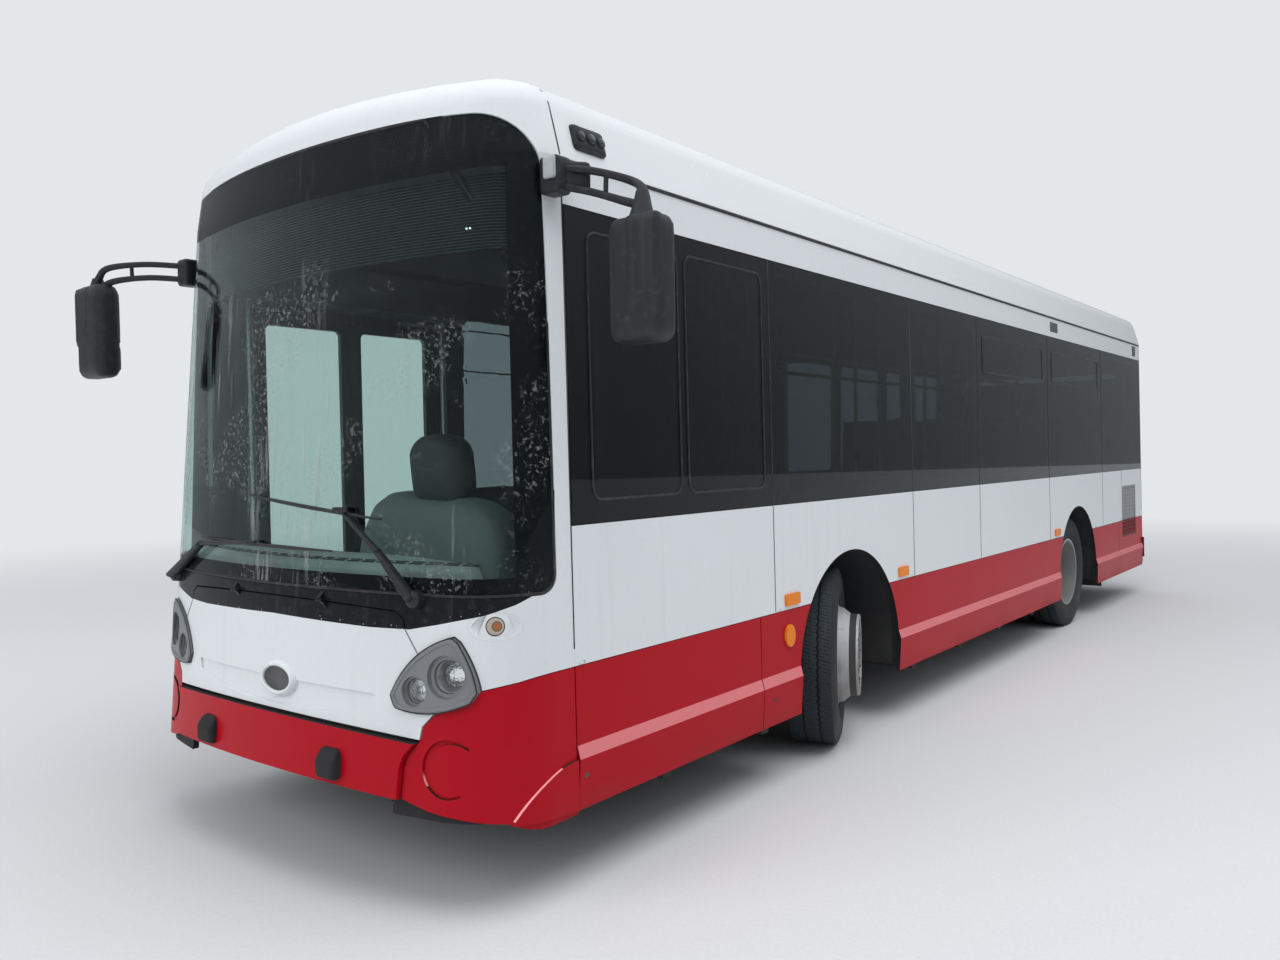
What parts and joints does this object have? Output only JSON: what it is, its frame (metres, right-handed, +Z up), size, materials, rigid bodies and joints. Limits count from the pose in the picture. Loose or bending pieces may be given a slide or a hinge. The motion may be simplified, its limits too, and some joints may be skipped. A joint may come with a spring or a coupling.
{
  "type": "city bus",
  "caption": "Single-deck city bus with low entry, two inward-gliding doors, steered front wheels, opening front flap and rear engine lid.",
  "frame": {"origin": "on the ground, on the centre line, midway between the front and the rear", "axes": "+X to the bus's left (driver's) side, +Y to the rear, +Z up"},
  "size_m": [3.25, 10.2367, 3.107],
  "materials": {
    "white_paint": "gloss",
    "red_paint": "gloss",
    "tinted_glass": "gloss",
    "black_rubber": "matte",
    "tyre_rubber": "matte",
    "black_plastic": "matte",
    "silver_plastic": "satin",
    "lamp_glass": "gloss",
    "amber_lens": "gloss",
    "red_lens": "gloss",
    "frame_paint": "matte",
    "floor_vinyl": "matte",
    "liner_plastic": "matte",
    "rim_steel": "satin",
    "cast_metal": "matte",
    "grey_plastic": "matte",
    "seat_fabric": "matte",
    "yellow_paint": "gloss",
    "door_paint": "satin",
    "bare_steel": "satin"
  },
  "bodies": {
    "body": {"underframe": "frame_paint", "floor": "floor_vinyl", "wheel_boxes": "liner_plastic", "left_wall": "white_paint", "right_wall": "white_paint", "roof": "white_paint", "front_mask": "white_paint", "rear_wall": "white_paint", "side_skirts": "red_paint", "windscreen": "tinted_glass", "windows": "tinted_glass", "front_bumper": "red_paint", "bumper_guards": "black_rubber", "headlamp_housings": "silver_plastic", "headlamps": "lamp_glass", "turn_lamps": "amber_lens", "rear_bumper": "red_paint", "tail_lamps": "red_lens", "side_grille": "black_plastic", "roof_hatches": "white_paint", "dashboard": "grey_plastic", "driver_seat": "seat_fabric", "driver_partition": "grey_plastic", "passenger_seats": "seat_fabric", "handrails": "yellow_paint", "destination_display": "black_plastic", "mirrors": "black_plastic", "wipers": "black_plastic", "mudflaps": "black_rubber", "front_axle": "cast_metal", "rear_axle": "cast_metal", "engine": "cast_metal", "door_gear": "grey_plastic"},
    "front_flap": {"front_flap": "white_paint"},
    "rear_lid": {"rear_lid": "white_paint"},
    "left_knuckle": {"left_knuckle": "cast_metal"},
    "right_knuckle": {"right_knuckle": "cast_metal"},
    "steering_wheel": {"steering_wheel": "black_plastic"},
    "front_left_wheel": {"front_left_rim": "rim_steel", "front_left_tyre": "tyre_rubber"},
    "rear_left_wheels": {"rear_left_rims": "rim_steel", "rear_left_tyres": "tyre_rubber"},
    "front_right_wheel": {"front_right_rim": "rim_steel", "front_right_tyre": "tyre_rubber"},
    "rear_right_wheels": {"rear_right_rims": "rim_steel", "rear_right_tyres": "tyre_rubber"},
    "front_door_fore_shaft": {"front_door_fore_shaft": "bare_steel"},
    "front_door_fore_leaf": {"front_door_fore_leaf": "door_paint", "front_door_fore_glass": "tinted_glass"},
    "front_door_aft_shaft": {"front_door_aft_shaft": "bare_steel"},
    "front_door_aft_leaf": {"front_door_aft_leaf": "door_paint", "front_door_aft_glass": "tinted_glass"},
    "middle_door_fore_shaft": {"middle_door_fore_shaft": "bare_steel"},
    "middle_door_fore_leaf": {"middle_door_fore_leaf": "door_paint", "middle_door_fore_glass": "tinted_glass"},
    "middle_door_aft_shaft": {"middle_door_aft_shaft": "bare_steel"},
    "middle_door_aft_leaf": {"middle_door_aft_leaf": "door_paint", "middle_door_aft_glass": "tinted_glass"}
  },
  "joints": [
    {"name": "front_flap_hinge", "type": "hinge", "parent": "body", "child": "front_flap", "pos_m": [0, -5.018, 1.09], "axis": [-1, 0, 0], "range_deg": [0, 80]},
    {"name": "rear_lid_hinge", "type": "hinge", "parent": "body", "child": "rear_lid", "pos_m": [0, 5.119, 1.446], "axis": [1, 0, 0], "range_deg": [0, 75]},
    {"name": "left_steer", "type": "hinge", "parent": "body", "child": "left_knuckle", "pos_m": [0.885, -2.26, 0.488], "axis": [0, 0, 1], "range_deg": [-65, 19]},
    {"name": "front_left_roll", "type": "hinge", "parent": "left_knuckle", "child": "front_left_wheel", "pos_m": [0.94944, -2.23265, 0.488], "axis": [0.9205, 0.3907, 0], "continuous": true},
    {"name": "rear_left_roll", "type": "hinge", "parent": "body", "child": "rear_left_wheels", "pos_m": [0.812, 2.3, 0.488], "axis": [1, 0, 0], "continuous": true},
    {"name": "right_steer", "type": "hinge", "parent": "body", "child": "right_knuckle", "pos_m": [-0.885, -2.26, 0.488], "axis": [0, 0, 1], "range_deg": [-65, 19]},
    {"name": "front_right_roll", "type": "hinge", "parent": "right_knuckle", "child": "front_right_wheel", "pos_m": [-0.94944, -2.28735, 0.488], "axis": [0.9205, 0.3907, 0], "continuous": true},
    {"name": "rear_right_roll", "type": "hinge", "parent": "body", "child": "rear_right_wheels", "pos_m": [-0.812, 2.3, 0.488], "axis": [1, 0, 0], "continuous": true},
    {"name": "steering_wheel_turn", "type": "hinge", "parent": "body", "child": "steering_wheel", "pos_m": [0.62, -4.28, 1.08], "axis": [0, 0.454, 0.891], "range_deg": [-1180, 350]},
    {"name": "front_door_fore_shaft_turn", "type": "hinge", "parent": "body", "child": "front_door_fore_shaft", "pos_m": [-1.07, -4.44, 1.4], "axis": [0, 0, -1], "range_deg": [0, 81]},
    {"name": "front_door_fore_leaf_turn", "type": "hinge", "parent": "front_door_fore_shaft", "child": "front_door_fore_leaf", "pos_m": [-1.07, -4.12, 1.4], "axis": [0, 0, 1], "range_deg": [0, 162]},
    {"name": "front_door_aft_shaft_turn", "type": "hinge", "parent": "body", "child": "front_door_aft_shaft", "pos_m": [-1.07, -3.16, 1.4], "axis": [0, 0, 1], "range_deg": [0, 81]},
    {"name": "front_door_aft_leaf_turn", "type": "hinge", "parent": "front_door_aft_shaft", "child": "front_door_aft_leaf", "pos_m": [-1.07, -3.48, 1.4], "axis": [0, 0, -1], "range_deg": [0, 162]},
    {"name": "middle_door_fore_shaft_turn", "type": "hinge", "parent": "body", "child": "middle_door_fore_shaft", "pos_m": [-1.07, -0.29, 1.4], "axis": [0, 0, -1], "range_deg": [0, 81]},
    {"name": "middle_door_fore_leaf_turn", "type": "hinge", "parent": "middle_door_fore_shaft", "child": "middle_door_fore_leaf", "pos_m": [-1.07, 0.03, 1.4], "axis": [0, 0, 1], "range_deg": [0, 162]},
    {"name": "middle_door_aft_shaft_turn", "type": "hinge", "parent": "body", "child": "middle_door_aft_shaft", "pos_m": [-1.07, 0.99, 1.4], "axis": [0, 0, 1], "range_deg": [0, 81]},
    {"name": "middle_door_aft_leaf_turn", "type": "hinge", "parent": "middle_door_aft_shaft", "child": "middle_door_aft_leaf", "pos_m": [-1.07, 0.67, 1.4], "axis": [0, 0, -1], "range_deg": [0, 162]}
  ],
  "couplings": [
    {"joint": "right_steer", "follows": "left_steer", "ratio": 1},
    {"joint": "steering_wheel_turn", "follows": "left_steer", "ratio": 18},
    {"joint": "front_door_fore_leaf_turn", "follows": "front_door_fore_shaft_turn", "ratio": 2},
    {"joint": "front_door_aft_shaft_turn", "follows": "front_door_fore_shaft_turn", "ratio": 1},
    {"joint": "front_door_aft_leaf_turn", "follows": "front_door_fore_shaft_turn", "ratio": 2},
    {"joint": "middle_door_fore_leaf_turn", "follows": "middle_door_fore_shaft_turn", "ratio": 2},
    {"joint": "middle_door_aft_shaft_turn", "follows": "middle_door_fore_shaft_turn", "ratio": 1},
    {"joint": "middle_door_aft_leaf_turn", "follows": "middle_door_fore_shaft_turn", "ratio": 2}
  ]
}
